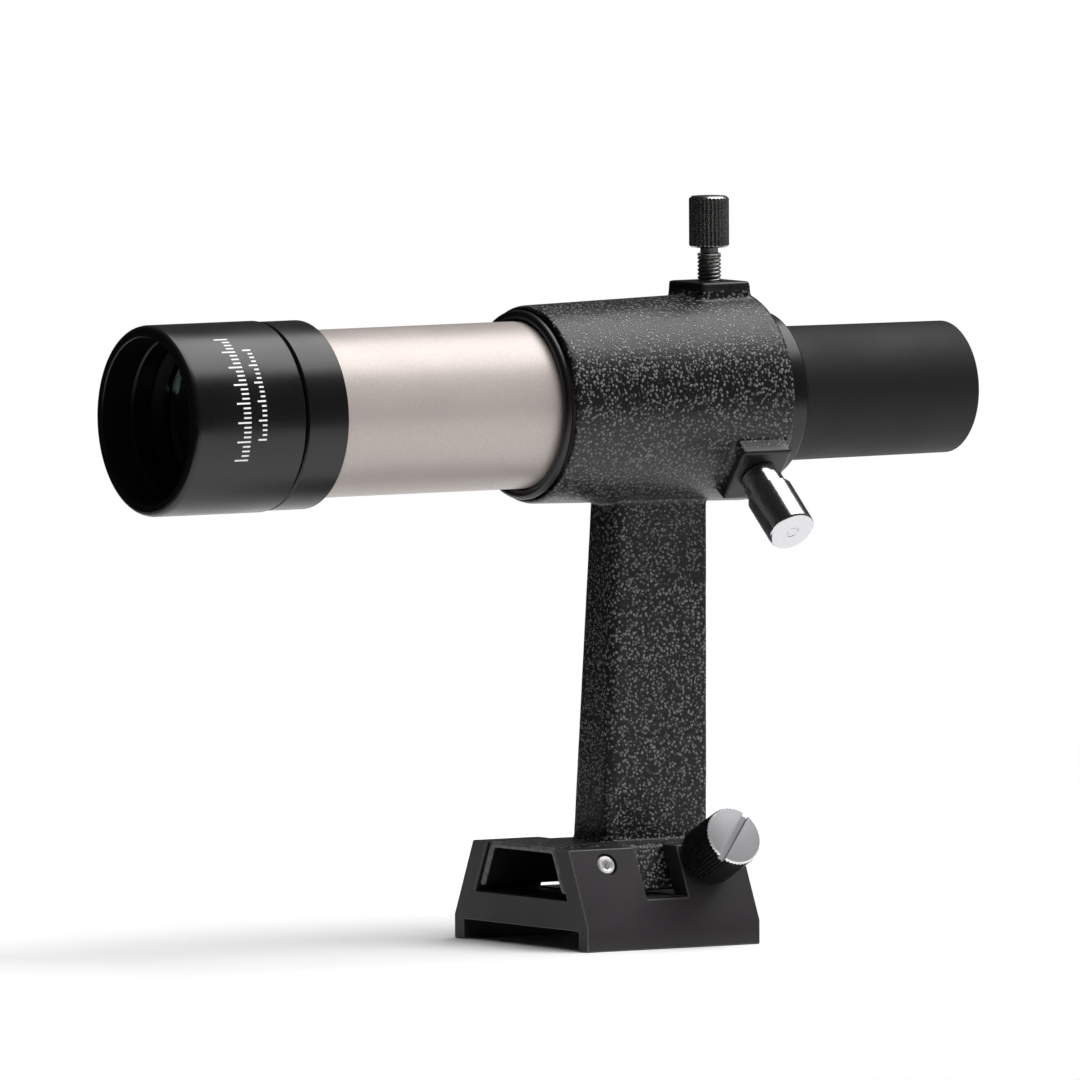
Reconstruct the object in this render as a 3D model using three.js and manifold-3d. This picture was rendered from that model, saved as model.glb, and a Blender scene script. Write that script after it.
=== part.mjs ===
// Finder scope on a three-point bracket and a dovetail shoe.
// Frame: +Y is the line of sight towards the sky, +X the observer's right, +Z up.
// z = 0 is the underside of the shoe's rails, y = 0 is near the middle of the shoe. Millimetres.
import * as THREE from 'three';
import { mergeVertices } from 'three/addons/utils/BufferGeometryUtils.js';
import Module from 'manifold-3d';

const wasm = await Module();
wasm.setup();

// ---------------------------------------------------------------- driving dimensions
const AXIS_HEIGHT = 111.5;      // optical axis above the rails' underside
const GAP = 0.3;                // clearance between neighbouring parts

// Objective end
const HOOD = { front: 111.7, rear: 84.7, radius: 19.65, mouth: 17.15, chamfer: 1.0 };
const CELL = { mouthStep: 104.6, threadBore: 16.75, pocketFront: 97.6, pocketBore: 16.0 };
const SEAT = { front: 90.6, rear: 89.9, bore: 14.9, rearBore: 16.85 };
const CLEAR_RADIUS = 15.0;      // clear aperture of the objective
const LENS_RADIUS = 15.7;
const CROWN = { rear: 94.9, front: 97.4, rearBulge: -1.7, frontBulge: 1.35 };
const LENS_SPACER = { rear: 93.95, front: 94.6 };
const FLINT = { rear: 90.95, front: 93.65, rearBulge: 0, frontBulge: -1.45 };
const LENS_RING = { rear: 97.9, bevel: 98.6, front: 100.2, notch: 1.6 };
const LOCK_RING = { front: 84.35, rear: 74.4, radius: 19.4, bore: 16.85 };

// Main tube
const TUBE = { radius: 17.25, bore: 15.9, front: 88.5, shoulder: 74.05, rear: -30.1 };
const TUBE_THREAD = 16.5;       // radius of the male thread at the front

// Eyepiece end
const COLLAR = { front: -30.45, rear: -39.0, radius: 17.25, bore: 14.25, spigot: 15.55, spigotFront: -24.1 };
const EYEPIECE = { front: -25.1, rear: -82.8, radius: 13.9, rearRadius: 13.7, bore: 11.6 };
const EYE_STOP = { front: -80.1, bore: 8.6, cup: 10.6 };
const EYE_LENS = { rear: -79.75, front: -76.5, rearBulge: -0.2, frontBulge: 1.6 };
const EYE_SPACER = { rear: -75.8, front: -62.5 };
const FIELD_LENS = { rear: -61.9, front: -59.2, rearBulge: -1.4, frontBulge: 0 };
const EYE_RING = { rear: -58.9, front: -56.7 };
const RETICLE = { rear: -50.6, front: -47.0, wires: -48.8, wire: 0.12 };

// Bracket
const BARREL = {
  front: 20.2, rear: -32.7, frontRadius: 20.45, rearRadius: 21.65,
  bore: 18.7, rearBore: 20.4,
};
const O_RING = { station: 21.0, radius: 18.5, section: 1.05 };
const SCREW_STATION = -25.15;   // plane of the two adjusters and the plunger
const BOSS = { width: 13.9, length: 12.4, face: 24.0, corner: 1.2 };
const TOP_ANGLE = 90;           // directions seen from the eyepiece, from +X towards +Z
const SIDE_ANGLE = 320;
const PLUNGER_ANGLE = 220;
const STALK = {
  top: { width: 11.0, front: 1.4, rear: -21.0 },
  foot: { width: 14.6, front: 5.2, rear: -19.5 },
  corner: 2.2,                  // rounding of the two front corners
  rearCorner: 0.7,
};

// Dovetail
const SHOE = {
  front: 21.6, rear: -20.4, width: 51.6, height: 20.7,
  shoulder: 5.0,                // height of the upright part of each flank
  floor: 10.2,                  // bottom of the groove
  floorUnder: 4.1,              // underside of the floor, between the rails
  rail: 3.6,
};
const SLOPE = 0.465;            // sideways run of the flanks for each mm of height
const GROOVE_TOP_HALF = 12.95;
const WINDOW = { front: 5.5, rear: -4.6 };
const FOOT = { front: 21.2, rear: -20.1, top: 20.9, bottom: 11.8, wall: 1.9, roof: 1.4, play: 0.45 };

// Screws
const THREAD_PITCH = 0.8;
const ADJUSTER = {               // stations are distances from the optical axis
  thread: 2.45, core: 2.1, neck: 1.85, head: 4.15,
  threadEnd: 29.6, headStart: 30.9, headEnd: 41.5,
};
const PLUNGER = {
  thread: 3.4, neck: 4.25, head: 4.95,
  inner: 19.9, neckStart: 24.35, headStart: 29.8, end: 41.0,
};
const PIN = { rod: 1.55, piston: 2.3, pistonStart: 23.2, pistonEnd: 24.6 };
const CLAMP = { station: -10.4, height: 17.6, head: 6.3, headStart: 1.0, headEnd: 13.2, teeth: 36 };
const SET_SCREW = { station: 13.1, radius: 2.1, socket: 1.15 };

// ---------------------------------------------------------------- finishes
function finish(colour, roughness, metalness) {
  return new THREE.MeshStandardMaterial({ color: colour, roughness, metalness });
}

const blackAnodised = finish(0x18191b, 0.35, 0.6);
const matteBlack = finish(0x1b1c1d, 0.6, 0.2);
const champagnePaint = finish(0xcbc2b6, 0.42, 0.3);
const hammertone = finish(0x17191b, 0.3, 0.2);
const rubber = finish(0x121212, 0.75, 0.0);
const chrome = finish(0xc9cbcd, 0.12, 1.0);
const steel = finish(0xa9abad, 0.3, 1.0);
const glass = finish(0xdfe8e6, 0.05, 0.0);

// ---------------------------------------------------------------- building blocks
function signedVolume(position, index) {
  const [a, b, c] = [new THREE.Vector3(), new THREE.Vector3(), new THREE.Vector3()];
  let sum = 0;
  for (let i = 0; i < index.length; i += 3) {
    a.fromBufferAttribute(position, index[i]);
    b.fromBufferAttribute(position, index[i + 1]);
    c.fromBufferAttribute(position, index[i + 2]);
    sum += a.dot(b.cross(c));
  }
  return sum;
}

// Turns a closed three.js geometry into a solid that faces outwards.
function solid(geometry) {
  geometry.deleteAttribute('normal');
  geometry.deleteAttribute('uv');
  const merged = mergeVertices(geometry, 1e-4);
  const source = merged.index.array;
  const flip = signedVolume(merged.attributes.position, source) < 0;
  const triangles = [];
  for (let i = 0; i < source.length; i += 3) {
    const [a, b, c] = [source[i], source[i + 1], source[i + 2]];
    if (a === b || b === c || c === a) continue;
    triangles.push(a, flip ? c : b, flip ? b : c);
  }
  return new wasm.Manifold(new wasm.Mesh({
    numProp: 3,
    vertProperties: new Float32Array(merged.attributes.position.array),
    triVerts: new Uint32Array(triangles),
  }));
}

// A body turned about the local Y axis; the profile is [radius, y] and closes on itself.
function turned(profile, segments) {
  const points = [...profile, profile[0]].map(([r, y]) => new THREE.Vector2(r, y));
  return new THREE.LatheGeometry(points, segments);
}

// The same about the optical axis.
function onAxis(profile, segments = 40) {
  return turned(profile, segments).translate(0, 0, AXIS_HEIGHT);
}

// A plain ring or sleeve about the optical axis.
function sleeve(outer, inner, rear, front, segments = 40) {
  return onAxis([[outer, rear], [outer, front], [inner, front], [inner, rear]], segments);
}

function box(width, length, height, x, y, z) {
  return new THREE.BoxGeometry(width, length, height).translate(x, y, z);
}

// A flat outline in X-Z pushed along Y.
function pushedAlongY(outline, rear, front) {
  const shape = new THREE.Shape(outline.map(([x, z]) => new THREE.Vector2(x, z)));
  const geometry = new THREE.ExtrudeGeometry(shape, { depth: front - rear, bevelEnabled: false });
  return geometry.rotateX(Math.PI / 2).translate(0, front, 0);
}

// A rectangle whose rear corners may have their own rounding.
function roundedRectangle(width, length, corner, rear = corner) {
  const shape = new THREE.Shape();
  const [w, l] = [width / 2, length / 2];
  shape.moveTo(w - rear, -l);
  shape.absarc(w - rear, -l + rear, rear, -Math.PI / 2, 0);
  shape.absarc(w - corner, l - corner, corner, 0, Math.PI / 2);
  shape.absarc(-w + corner, l - corner, corner, Math.PI / 2, Math.PI);
  shape.absarc(-w + rear, -l + rear, rear, Math.PI, 1.5 * Math.PI);
  return shape;
}

// Local +Y becomes the outward direction of a screw in the adjuster plane.
function towards(angle) {
  const matrix = new THREE.Matrix4().makeRotationY(-(angle - 90) * Math.PI / 180);
  matrix.multiply(new THREE.Matrix4().makeRotationX(Math.PI / 2));
  matrix.setPosition(0, SCREW_STATION, AXIS_HEIGHT);
  return matrix;
}

// Local +Y becomes the outward normal of the shoe's near flank, starting on its surface.
function outOfFlank(station, height) {
  const tilt = Math.atan(SLOPE);
  const matrix = new THREE.Matrix4().makeRotationZ(Math.PI / 2);
  matrix.premultiply(new THREE.Matrix4().makeRotationY(tilt));
  const x = SHOE.width / 2 - (height - SHOE.shoulder) * SLOPE;
  matrix.setPosition(-x, station, height);
  return matrix;
}

// Outline of a straight knurl: shallow teeth round a circle.
function knurled(radius, depth, teeth, start, end) {
  const shape = new THREE.Shape();
  for (let i = 0; i < teeth * 2; i += 1) {
    const r = i % 2 ? radius - depth : radius;
    const angle = Math.PI * i / teeth;
    const [x, y] = [r * Math.cos(angle), r * Math.sin(angle)];
    if (i === 0) shape.moveTo(x, y);
    else shape.lineTo(x, y);
  }
  const geometry = new THREE.ExtrudeGeometry(shape, { depth: end - start, bevelEnabled: false });
  return geometry.rotateX(-Math.PI / 2).translate(0, start, 0);
}

// Thread ridges as a zigzag between two stations along local Y.
function threadProfile(core, crest, start, end, pitch) {
  const profile = [];
  for (let y = start; y < end - pitch; y += pitch) {
    profile.push([core, y], [crest, y + pitch / 2]);
  }
  profile.push([core, end]);
  return profile;
}

const group = new THREE.Group();
group.name = 'finder_scope';

function addPart(name, body, material) {
  const mesh = body.getMesh();
  const geometry = new THREE.BufferGeometry();
  geometry.setAttribute('position', new THREE.BufferAttribute(new Float32Array(mesh.vertProperties), 3));
  geometry.setIndex(new THREE.BufferAttribute(new Uint32Array(mesh.triVerts), 1));
  geometry.computeVertexNormals();
  const part = new THREE.Mesh(geometry, material);
  part.name = name;
  group.add(part);
}

// ---------------------------------------------------------------- dovetail shoe
function flankHalf(height) {
  return SHOE.width / 2 - (height - SHOE.shoulder) * SLOPE;
}

function grooveHalf(height) {
  return GROOVE_TOP_HALF + (SHOE.height - height) * SLOPE;
}

function shoeOutline() {
  const half = SHOE.width / 2;
  const right = [
    [half - SHOE.rail, 0],
    [half, 0],
    [half, SHOE.shoulder],
    [flankHalf(SHOE.height), SHOE.height],
    [GROOVE_TOP_HALF, SHOE.height],
    [grooveHalf(SHOE.floor), SHOE.floor],
  ];
  const left = right.map(([x, z]) => [-x, z]).reverse();
  const underside = [[-half + SHOE.rail, SHOE.floorUnder], [half - SHOE.rail, SHOE.floorUnder]];
  return [...right, ...left, ...underside];
}

function buildShoe() {
  let body = solid(pushedAlongY(shoeOutline(), SHOE.rear, SHOE.front));
  const windowLength = WINDOW.front - WINDOW.rear;
  const middle = (WINDOW.front + WINDOW.rear) / 2;
  const rise = SHOE.height - SHOE.floor + 2;
  for (const side of [-1, 1]) {
    const cut = box(16, windowLength, rise, side * 20, middle, SHOE.floor + rise / 2);
    body = body.subtract(solid(cut));
  }
  const clampHole = turned([[0, -9], [2.8, -9], [2.8, 4], [0, 4]], 24);
  body = body.subtract(solid(clampHole.applyMatrix4(outOfFlank(CLAMP.station, CLAMP.height))));
  const setHole = turned([[0, -9], [2.45, -9], [2.45, 4], [0, 4]], 24);
  body = body.subtract(solid(setHole.applyMatrix4(outOfFlank(SET_SCREW.station, CLAMP.height))));
  addPart('dovetail_shoe', body, blackAnodised);
}

function buildClampScrew() {
  const place = outOfFlank(CLAMP.station, CLAMP.height);
  const { thread } = ADJUSTER;
  const stud = turned([
    [0, -5.1], [thread - 0.5, -5.1], [thread, -4.6], [thread, 0.6], [2.1, 0.8], [2.1, 3.4], [0, 3.4],
  ], 20);
  addPart('clamp_screw_stud', solid(stud.applyMatrix4(place)), steel);

  const { head, headStart, headEnd } = CLAMP;
  const limit = turned([
    [0, headStart], [head - 0.8, headStart], [head + 0.1, headStart + 0.9],
    [head + 0.1, headEnd - 0.6], [head - 0.5, headEnd], [0, headEnd],
  ], 36);
  const hole = turned([[0, headStart - 1], [2.45, headStart - 1], [2.45, 3.8], [0, 3.8]], 24);
  const slot = box(1.35, 1.6, head * 2 + 2, 0, headEnd, 0);
  let body = solid(knurled(head, 0.25, CLAMP.teeth, headStart, headEnd)).intersect(solid(limit));
  body = body.subtract(solid(hole)).subtract(solid(slot.rotateY(Math.PI / 5)));
  addPart('clamp_screw_head', body.transform(place.elements), blackAnodised);
}

function buildSetScrew() {
  const place = outOfFlank(SET_SCREW.station, CLAMP.height);
  const { radius, socket } = SET_SCREW;
  const rod = turned([
    [0, -5.0], [radius - 0.4, -5.0], [radius, -4.6], [radius, -0.5], [radius - 0.25, -0.25], [0, -0.25],
  ], 24);
  const hex = turned([[0, -2.2], [socket, -2.2], [socket, 1], [0, 1]], 6);
  addPart('set_screw', solid(rod).subtract(solid(hex)).transform(place.elements), chrome);
}

// ---------------------------------------------------------------- bracket
function barrelSolid() {
  const { front, rear, frontRadius, rearRadius } = BARREL;
  return solid(onAxis([
    [0, rear], [rearRadius - 0.6, rear], [rearRadius, rear + 0.7],
    [frontRadius, front - 1.2], [frontRadius - 0.15, front - 0.5], [frontRadius - 0.6, front], [0, front],
  ], 48));
}

// The bore widens to the rear and is flared at the mouth, where the rubber ring sits.
function boreSolid() {
  const { front, rear, bore, rearBore } = BARREL;
  const flare = 1.2;
  return solid(onAxis([
    [0, rear - 5], [rearBore + 0.6, rear - 5], [rearBore + 0.6, rear], [rearBore, rear + 0.6],
    [bore, front - flare], [bore + flare, front], [bore + flare, front + 5], [0, front + 5],
  ], 48));
}

function bossSolid(angle) {
  const shape = roundedRectangle(BOSS.width - 0.6, BOSS.length - 0.6, BOSS.corner);
  const geometry = new THREE.ExtrudeGeometry(shape, {
    depth: BOSS.face - 12.4, bevelThickness: 0.4, bevelSize: 0.3, bevelSegments: 1, curveSegments: 2,
  });
  geometry.rotateX(-Math.PI / 2).translate(0, 12, 0);
  return solid(geometry.applyMatrix4(towards(angle)));
}

function stalkSolid() {
  const { top, foot, corner, rearCorner } = STALK;
  const [low, high] = [FOOT.top - 1.0, AXIS_HEIGHT - BARREL.bore];
  const outline = roundedRectangle(top.width, top.front - top.rear, corner, rearCorner);
  const geometry = new THREE.ExtrudeGeometry(outline, {
    depth: 1, steps: 1, bevelEnabled: false, curveSegments: 4,
  });
  const position = geometry.attributes.position;
  for (let i = 0; i < position.count; i += 1) {
    const part = position.getZ(i);
    const length = THREE.MathUtils.lerp(foot.front - foot.rear, top.front - top.rear, part);
    const middle = THREE.MathUtils.lerp(foot.front + foot.rear, top.front + top.rear, part) / 2;
    const width = THREE.MathUtils.lerp(foot.width, top.width, part);
    position.setX(i, position.getX(i) * width / top.width);
    position.setY(i, position.getY(i) * length / (top.front - top.rear) + middle);
    position.setZ(i, THREE.MathUtils.lerp(low, high, part));
  }
  return solid(geometry);
}

function footHalf(height) {
  return grooveHalf(height) - FOOT.play;
}

function footSolid() {
  const { top, bottom, wall, roof, front, rear } = FOOT;
  const right = [
    [footHalf(top - roof) - wall, top - roof],
    [footHalf(bottom) - wall, bottom],
    [footHalf(bottom), bottom],
    [footHalf(top - 0.9), top - 0.9],
    [footHalf(top) - 0.3, top - 0.2],
    [footHalf(top) - 1.0, top],
  ];
  const left = [...right].reverse().map(([x, z]) => [-x, z]);
  return solid(pushedAlongY([...right, ...left], rear, front));
}

function screwHole(angle, radius) {
  return solid(turned([[0, 10], [radius, 10], [radius, 30], [0, 30]], 28).applyMatrix4(towards(angle)));
}

function buildBracket() {
  let body = barrelSolid();
  for (const angle of [TOP_ANGLE, SIDE_ANGLE, PLUNGER_ANGLE]) {
    body = body.add(bossSolid(angle));
  }
  body = body.add(stalkSolid()).add(footSolid()).subtract(boreSolid());
  body = body.subtract(screwHole(TOP_ANGLE, ADJUSTER.thread + GAP));
  body = body.subtract(screwHole(SIDE_ANGLE, ADJUSTER.thread + GAP));
  body = body.subtract(screwHole(PLUNGER_ANGLE, PLUNGER.thread + GAP));
  addPart('bracket_casting', body, hammertone);
}

function buildAdjuster(prefix, angle) {
  const place = towards(angle);
  const { core, thread, neck, threadEnd, headStart, headEnd, head } = ADJUSTER;
  const tip = TUBE.radius + GAP;
  const ridges = threadProfile(core, thread, BOSS.face - 0.6, threadEnd, THREAD_PITCH);
  const neckEnd = headStart + 2.5;
  const stud = turned([
    [0, tip], [core - 0.2, tip], [thread, tip + 0.5], [thread, BOSS.face - 1], ...ridges,
    [neck, threadEnd + 0.2], [neck, neckEnd], [0, neckEnd],
  ], 16);
  addPart(`${prefix}_adjuster_stud`, solid(stud.applyMatrix4(place)), steel);

  const limit = turned([
    [0, headStart], [head - 0.9, headStart], [head + 0.05, headStart + 0.8],
    [head + 0.05, headEnd - 0.5], [head - 0.45, headEnd], [0, headEnd],
  ], 30);
  const holeRadius = neck + GAP;
  const holeEnd = neckEnd + GAP;
  const hole = turned([
    [0, headStart - 1], [holeRadius, headStart - 1], [holeRadius, holeEnd], [0, holeEnd],
  ], 20);
  let body = solid(knurled(head, 0.2, 30, headStart, headEnd)).intersect(solid(limit));
  body = body.subtract(solid(hole));
  addPart(`${prefix}_adjuster_head`, body.transform(place.elements), steel);
}

class Coil extends THREE.Curve {
  constructor(radius, turns, start, end) {
    super();
    Object.assign(this, { radius, turns, start, end });
  }

  getPoint(t) {
    const angle = 2 * Math.PI * this.turns * t;
    const y = THREE.MathUtils.lerp(this.start, this.end, t);
    return new THREE.Vector3(this.radius * Math.cos(angle), y, this.radius * Math.sin(angle));
  }
}

function buildPlunger() {
  const place = towards(PLUNGER_ANGLE);
  const { thread, neck, head, inner, neckStart, headStart, end } = PLUNGER;
  const bore = PIN.piston + GAP + 0.1;
  const housing = turned([
    [PIN.rod + GAP, inner], [thread - 0.3, inner], [thread, inner + 0.3], [thread, neckStart],
    [neck, neckStart], [neck, headStart], [head - 0.5, headStart], [head, headStart + 0.5],
    [head, end - 0.5], [head - 0.5, end], [0.7, end], [0.5, end - 0.4], [0, end - 0.4],
    [0, end - 3.6], [bore, end - 3.6], [bore, inner + 1.6], [PIN.rod + GAP, inner + 1.6],
  ], 24);
  addPart('plunger_housing', solid(housing.applyMatrix4(place)), chrome);

  const tip = TUBE.radius + GAP;
  const pin = turned([
    [0, tip], [PIN.rod - 0.5, tip], [PIN.rod, tip + 0.5], [PIN.rod, PIN.pistonStart],
    [PIN.piston, PIN.pistonStart], [PIN.piston, PIN.pistonEnd], [0, PIN.pistonEnd],
  ], 20);
  addPart('plunger_pin', solid(pin.applyMatrix4(place)), steel);

  const wire = 0.28;
  const section = new THREE.Shape().absarc(0, 0, wire, 0, 2 * Math.PI);
  const path = new Coil(1.85, 6, PIN.pistonEnd + GAP + wire, end - 3.6 - GAP - wire);
  const spring = new THREE.ExtrudeGeometry(section, { steps: 48, extrudePath: path, curveSegments: 3 });
  addPart('plunger_spring', solid(spring.applyMatrix4(place)), steel);
}

// ---------------------------------------------------------------- optical tube
function buildRubberRing() {
  const { station, radius, section } = O_RING;
  const profile = [];
  const sides = 8;
  for (let i = 0; i < sides; i += 1) {
    const angle = 2 * Math.PI * i / sides;
    profile.push([radius + section * Math.cos(angle), station + section * Math.sin(angle)]);
  }
  addPart('tube_o_ring', solid(onAxis(profile)), rubber);
}

function buildMainTube() {
  const { radius, bore, front, shoulder, rear } = TUBE;
  const body = onAxis([
    [bore, rear], [radius, rear], [radius, shoulder], [TUBE_THREAD, shoulder],
    [TUBE_THREAD, front - 0.4], [TUBE_THREAD - 0.4, front], [bore - 1.0, front],
    [bore - 1.0, shoulder - 4], [bore, shoulder - 5],
  ], 48);
  addPart('main_tube', solid(body), champagnePaint);
}

function buildRearCollar() {
  const { front, rear, radius, bore, spigot, spigotFront } = COLLAR;
  const body = onAxis([
    [bore, rear], [radius - 1.0, rear], [radius, rear + 1.0], [radius, front],
    [spigot, front], [spigot, spigotFront], [bore, spigotFront],
  ], 40);
  addPart('rear_collar', solid(body), blackAnodised);
}

function buildEyepieceTube() {
  const { front, rear, radius, rearRadius, bore } = EYEPIECE;
  const body = onAxis([
    [EYE_STOP.cup, rear], [rearRadius - 0.5, rear], [rearRadius, rear + 0.5],
    [radius, COLLAR.rear - 1.5], [radius, front], [bore, front],
    [bore, EYE_STOP.front], [EYE_STOP.bore, EYE_STOP.front],
  ], 40);
  addPart('eyepiece_tube', solid(body), matteBlack);
}

// A lens with edge faces at two stations and a bulge of each face at the middle.
function lens(radius, { rear, front, rearBulge, frontBulge }, segments = 32) {
  const rings = 3;
  const rearFace = [];
  const frontFace = [];
  for (let i = 0; i <= rings; i += 1) {
    const r = radius * i / rings;
    const share = 1 - (i / rings) ** 2;
    rearFace.push([r, rear + rearBulge * share]);
    frontFace.unshift([r, front + frontBulge * share]);
  }
  return solid(onAxis([...rearFace, ...frontFace], segments));
}

function buildEyepieceOptics() {
  const fit = EYEPIECE.bore - GAP;
  addPart('eye_lens', lens(fit, EYE_LENS, 24), glass);
  const spacer = sleeve(fit, fit - 1.2, EYE_SPACER.rear, EYE_SPACER.front, 24);
  addPart('eyepiece_spacer', solid(spacer), matteBlack);
  addPart('field_lens', lens(fit, FIELD_LENS, 24), glass);
  const ring = sleeve(fit, fit - 1.8, EYE_RING.rear, EYE_RING.front, 24);
  addPart('eyepiece_retaining_ring', solid(ring), matteBlack);
  addPart('reticle_ring', solid(sleeve(fit, fit - 2.6, RETICLE.rear, RETICLE.front, 24)), matteBlack);
  const span = 2 * (fit - 2.6) - 0.6;
  const { wire, wires } = RETICLE;
  const upright = solid(box(wire, wire, span, 0, wires, AXIS_HEIGHT));
  const level = solid(box(span, wire, wire, 0, wires, AXIS_HEIGHT));
  addPart('crosshair_wires', upright.add(level), steel);
}

function buildLockRing() {
  const { front, rear, radius, bore } = LOCK_RING;
  const body = onAxis([
    [bore, rear], [radius - 0.5, rear], [radius, rear + 0.5], [radius, front - 0.3],
    [radius - 0.3, front], [bore, front],
  ], 48);
  addPart('lock_ring', solid(body), blackAnodised);
}

function buildObjectiveCell() {
  const { front, rear, radius, mouth, chamfer } = HOOD;
  const body = onAxis([
    [SEAT.rearBore, rear], [radius - 0.4, rear], [radius, rear + 0.4], [radius, front - chamfer],
    [radius - chamfer, front], [mouth + 0.3, front], [mouth, front - 0.3], [mouth, CELL.mouthStep],
    [CELL.threadBore, CELL.mouthStep - 0.4], [CELL.threadBore, CELL.pocketFront],
    [CELL.pocketBore, CELL.pocketFront], [CELL.pocketBore, SEAT.front], [SEAT.bore, SEAT.front],
    [SEAT.bore, SEAT.rear], [SEAT.rearBore, SEAT.rear],
  ], 48);
  addPart('objective_cell', solid(body), blackAnodised);
}

function buildObjectiveOptics() {
  addPart('crown_lens', lens(LENS_RADIUS, CROWN), glass);
  const spacer = sleeve(LENS_RADIUS, LENS_RADIUS - 0.5, LENS_SPACER.rear, LENS_SPACER.front, 32);
  addPart('lens_spacer', solid(spacer), steel);
  addPart('flint_lens', lens(LENS_RADIUS, FLINT), glass);
  const outer = CELL.threadBore - GAP;
  const { rear, bevel, front, notch } = LENS_RING;
  let ring = solid(onAxis([
    [CLEAR_RADIUS, rear], [outer, rear], [outer, front], [outer - 0.35, front], [CLEAR_RADIUS + 0.3, bevel],
  ]));
  for (const side of [-1, 1]) {
    const cut = box(notch, 0.9, 1.4, 0, front - 0.2, AXIS_HEIGHT + side * (outer - 0.2));
    ring = ring.subtract(solid(cut));
  }
  addPart('objective_retaining_ring', ring, matteBlack);
}

// ---------------------------------------------------------------- assembly
buildShoe();
buildClampScrew();
buildSetScrew();
buildBracket();
buildAdjuster('top', TOP_ANGLE);
buildAdjuster('side', SIDE_ANGLE);
buildPlunger();
buildRubberRing();
buildMainTube();
buildRearCollar();
buildEyepieceTube();
buildEyepieceOptics();
buildLockRing();
buildObjectiveCell();
buildObjectiveOptics();

export default group;
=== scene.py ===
"""Finder scope on a three-point bracket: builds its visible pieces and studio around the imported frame."""
import math

import bmesh
import bpy
from mathutils import Matrix, Vector


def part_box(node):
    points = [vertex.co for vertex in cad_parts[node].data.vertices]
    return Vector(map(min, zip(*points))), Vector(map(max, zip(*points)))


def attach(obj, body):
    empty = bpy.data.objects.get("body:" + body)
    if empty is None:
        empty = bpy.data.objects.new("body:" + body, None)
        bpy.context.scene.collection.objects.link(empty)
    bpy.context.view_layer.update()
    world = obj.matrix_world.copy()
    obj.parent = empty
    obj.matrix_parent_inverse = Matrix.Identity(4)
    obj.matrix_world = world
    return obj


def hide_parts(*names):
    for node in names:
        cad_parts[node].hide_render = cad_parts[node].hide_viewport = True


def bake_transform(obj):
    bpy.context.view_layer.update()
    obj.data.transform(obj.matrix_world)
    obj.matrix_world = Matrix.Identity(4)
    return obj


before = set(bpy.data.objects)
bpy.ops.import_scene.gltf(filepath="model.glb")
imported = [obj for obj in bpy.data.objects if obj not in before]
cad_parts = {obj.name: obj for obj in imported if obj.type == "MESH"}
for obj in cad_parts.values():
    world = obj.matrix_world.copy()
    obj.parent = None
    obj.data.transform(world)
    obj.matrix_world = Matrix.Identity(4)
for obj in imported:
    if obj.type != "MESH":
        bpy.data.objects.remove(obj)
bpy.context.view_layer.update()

bl_info = {
    "name": "Finder Scope Builder",
    "version": (1, 0, 0),
    "blender": (4, 5, 0),
    "location": "3D View > Sidebar > Finder",
    "description": "Builds a finder scope, its bracket, its dovetail shoe and a small studio",
    "category": "Object",
}

MM = 0.001


def extent(node):
    """Lowest and highest corner of a frame node, in millimetres."""
    low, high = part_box(node)
    return [c / MM for c in low], [c / MM for c in high]


def span(node):
    """Rear end, front end and outer radius of a node turned about the line of sight."""
    low, high = extent(node)
    return low[1], high[1], (high[0] - low[0]) / 2


TUBE_LOW, TUBE_HIGH = extent("main_tube")
SHOE_LOW, SHOE_HIGH = extent("dovetail_shoe")
TOP_LOW, TOP_HIGH = extent("top_adjuster_head")
AXIS_HEIGHT = (TUBE_LOW[2] + TUBE_HIGH[2]) / 2
SCREW_STATION = (TOP_LOW[1] + TOP_HIGH[1]) / 2

# Directions of the bracket's three screws round the line of sight, in degrees.
TOP, SIDE, LOW_NEAR = 90, 320, 220
BOSSES = (TOP, SIDE, LOW_NEAR)

# Ends of the bracket's barrel, and radii inside the tubes.
BARREL_REAR, BARREL_FRONT = -32.7, 20.2
FRONT_THREAD = 16.5
OBJECTIVE_SEAT = 15.7
EYEPIECE_SEAT = 11.3

# The shoe's flanks and its groove's walls have the same slope above the shoulder.
FLANK_SLOPE = 0.465
FLANK_SHOULDER = 5.0
GROOVE_TOP_HALF = 12.95
GROOVE_FLOOR = 10.2

# Screws of the shoe: height on the flank, places along it, thread radius, turn of the clamp's slot.
SCREW_HEIGHT = 17.6
CLAMP_STATION = -10.4
SET_SCREW_STATION = 13.1
SCREW_THREAD = 2.45
SLOT_TURN = math.radians(138)


# ---- settings
def number_setting(name, description, default, **limits):
    return bpy.props.FloatProperty(name=name, description=description, default=default, **limits)


def count_setting(name, description, default, **limits):
    return bpy.props.IntProperty(name=name, description=description, default=default, **limits)


def angle_setting(name, description, degrees):
    return number_setting(name, description, math.radians(degrees), subtype="ANGLE")


def colour_setting(name, description, default):
    return bpy.props.FloatVectorProperty(
        name=name, description=description, default=default, subtype="COLOR", size=3, min=0.0, max=1.0)


class FinderSizes(bpy.types.PropertyGroup):
    """Small sizes that change how the pieces look, in millimetres."""
    cast_edge: number_setting(
        "Cast rounding", "Voxel size of the casting, which sets how soft it is", 0.42, min=0.2, max=1.5)
    cast_smooth: count_setting("Cast smoothing", "Passes that soften the casting", 5, min=0, max=40)
    knurl_depth: number_setting("Knurl depth", "Depth of the heads' teeth", 0.22, min=0.0, max=1.0)
    head_teeth: count_setting("Adjuster teeth", "Teeth round an adjuster's head", 30, min=6, max=80)
    clamp_teeth: count_setting("Clamp teeth", "Teeth round the clamp screw's head", 48, min=6, max=96)
    pitch: number_setting("Thread pitch", "Pitch of the adjuster threads", 0.8, min=0.3, max=2.0)
    segments: count_setting("Segments", "Sides of each turned piece", 128, min=24, max=256)


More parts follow.
